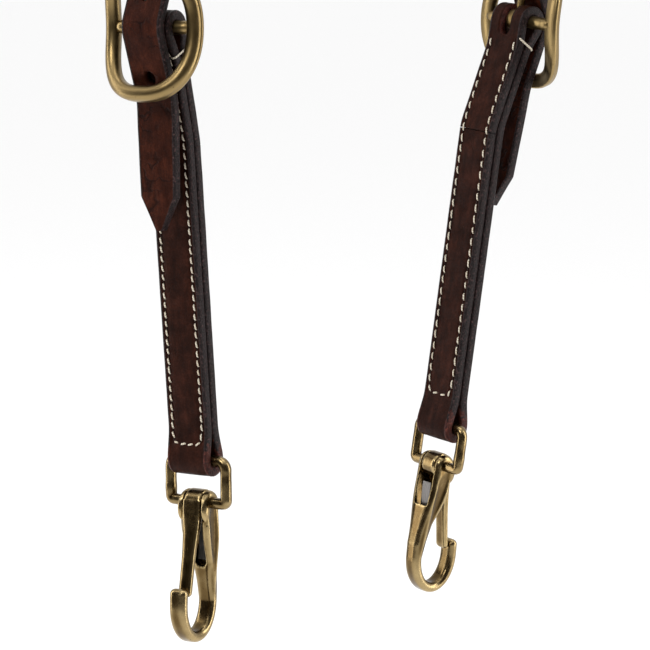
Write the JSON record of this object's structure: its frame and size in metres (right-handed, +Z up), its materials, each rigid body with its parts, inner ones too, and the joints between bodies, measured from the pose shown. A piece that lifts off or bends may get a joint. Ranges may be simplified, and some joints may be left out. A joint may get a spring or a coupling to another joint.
{
  "type": "martingale fork",
  "caption": "Leather fork that hangs from a brass ring; each end has a buckled, doubled and stitched strap that carries a snap hook with a sprung gate.",
  "frame": {"origin": "inside top of the centre ring, where the fork hangs", "axes": "+Z up; X runs from the left leg to the right leg; +Y is away from the buckle ends seen from the front, along the strap widths"},
  "size_m": [0.1971, 0.0767, 0.4718],
  "materials": {
    "havana_leather": "dark havana bridle leather, waxed, burnished edges",
    "chestnut_leather": "reddish brown bridle leather, waxed, burnished edges",
    "thread": "waxed linen thread, cream",
    "brass": "antique satin cast brass with polished crests",
    "spring_steel": "grey spring steel"
  },
  "bodies": {
    "ring": {"centre_ring": "brass"},
    "yoke": {"yoke_outer_ply": "chestnut_leather", "yoke_lining_ply": "chestnut_leather", "yoke_outer_stitching": "thread", "yoke_lining_stitching": "thread", "ring_chape": "havana_leather", "ring_chape_front_stitching": "thread", "ring_chape_back_stitching": "thread", "left_billet": "chestnut_leather", "left_buckle_frame": "brass", "right_billet": "chestnut_leather", "right_buckle_frame": "brass"},
    "left_tongue": {"left_buckle_tongue": "brass"},
    "left_strap": {"left_strap": "havana_leather", "left_strap_front_stitching": "thread", "left_strap_back_stitching": "thread"},
    "left_loop": {"left_snap_loop": "brass"},
    "left_hook": {"left_snap_hook": "brass", "left_snap_spring": "spring_steel"},
    "left_gate": {"left_snap_gate": "brass"},
    "right_tongue": {"right_buckle_tongue": "brass"},
    "right_strap": {"right_strap": "havana_leather", "right_strap_front_stitching": "thread", "right_strap_back_stitching": "thread"},
    "right_loop": {"right_snap_loop": "brass"},
    "right_hook": {"right_snap_hook": "brass", "right_snap_spring": "spring_steel"},
    "right_gate": {"right_snap_gate": "brass"}
  },
  "joints": [
    {"name": "yoke_swing", "type": "hinge", "parent": "ring", "child": "yoke", "pos_m": [0.00001, -0.00006, -0.0385], "axis": [-0.9738, 0.2272, 0], "range_deg": [-40, 40]},
    {"name": "left_tongue_lift", "type": "hinge", "parent": "yoke", "child": "left_tongue", "pos_m": [-0.08243, 0.01657, -0.23595], "axis": [0.158, -0.9867, 0.0384], "range_deg": [0, 5]},
    {"name": "left_strap_swing", "type": "hinge", "parent": "yoke", "child": "left_strap", "pos_m": [-0.08243, 0.01657, -0.23595], "axis": [-0.158, 0.9867, -0.0384], "range_deg": [-16, 0]},
    {"name": "left_loop_swing", "type": "hinge", "parent": "left_strap", "child": "left_loop", "pos_m": [-0.06233, 0.01227, -0.39773], "axis": [-0.158, 0.9867, -0.0384], "range_deg": [-50, 50]},
    {"name": "left_hook_swing", "type": "hinge", "parent": "left_loop", "child": "left_hook", "pos_m": [-0.06223, 0.01167, -0.41372], "axis": [-0.158, 0.9867, -0.0384], "range_deg": [-50, 50]},
    {"name": "left_gate_open", "type": "hinge", "parent": "left_hook", "child": "left_gate", "pos_m": [-0.06223, 0.01167, -0.41372], "axis": [0.158, -0.9867, 0.0384], "range_deg": [0, 15], "stiffness_Nm_per_rad": 0.02, "springref_deg": -11.46},
    {"name": "right_tongue_lift", "type": "hinge", "parent": "yoke", "child": "right_tongue", "pos_m": [0.08699, -0.0147, -0.2364], "axis": [0.1338, 0.9896, 0.0523], "range_deg": [0, 5]},
    {"name": "right_strap_swing", "type": "hinge", "parent": "yoke", "child": "right_strap", "pos_m": [0.08699, -0.0147, -0.2364], "axis": [0.1338, 0.9896, 0.0523], "range_deg": [0, 16]},
    {"name": "right_loop_swing", "type": "hinge", "parent": "right_strap", "child": "right_loop", "pos_m": [0.06135, -0.0027, -0.39779], "axis": [0.1338, 0.9896, 0.0523], "range_deg": [-50, 50]},
    {"name": "right_hook_swing", "type": "hinge", "parent": "right_loop", "child": "right_hook", "pos_m": [0.0598, -0.00165, -0.41368], "axis": [0.1338, 0.9896, 0.0523], "range_deg": [-50, 50]},
    {"name": "right_gate_open", "type": "hinge", "parent": "right_hook", "child": "right_gate", "pos_m": [0.0598, -0.00165, -0.41368], "axis": [0.1338, 0.9896, 0.0523], "range_deg": [0, 15], "stiffness_Nm_per_rad": 0.02, "springref_deg": -11.46}
  ]
}
